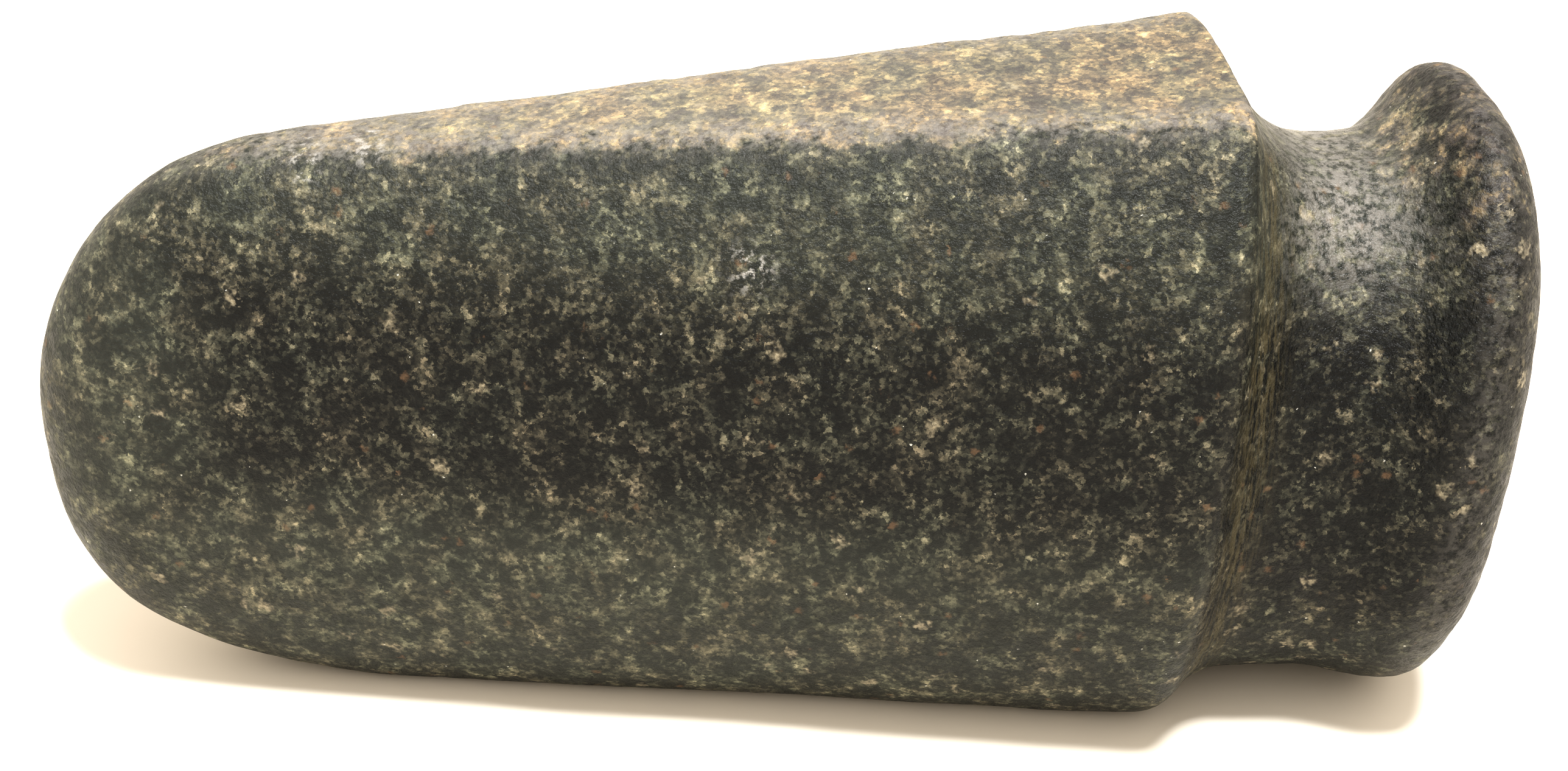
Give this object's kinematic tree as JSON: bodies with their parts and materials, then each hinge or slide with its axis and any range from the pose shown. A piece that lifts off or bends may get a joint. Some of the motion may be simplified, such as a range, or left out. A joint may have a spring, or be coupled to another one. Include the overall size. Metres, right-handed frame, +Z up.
{
  "type": "full-grooved stone axe head",
  "caption": "Ground and polished stone axe head with a rounded bit, flat narrow sides, a haft groove behind a raised lip, and a domed poll.",
  "frame": {"origin": "under the middle of the axe's length, on the plane that its flat narrow underside rests on", "axes": "+X from the bit towards the poll, +Y across the thickness, +Z up from the underside to the upper narrow side"},
  "size_m": [0.174, 0.0618, 0.0811],
  "materials": {
    "speckled_stone": "ground and polished dark green-black crystalline stone with olive, tan and rust speckles"
  },
  "bodies": {
    "root": {"axe_head": "speckled_stone"}
  },
  "joints": []
}
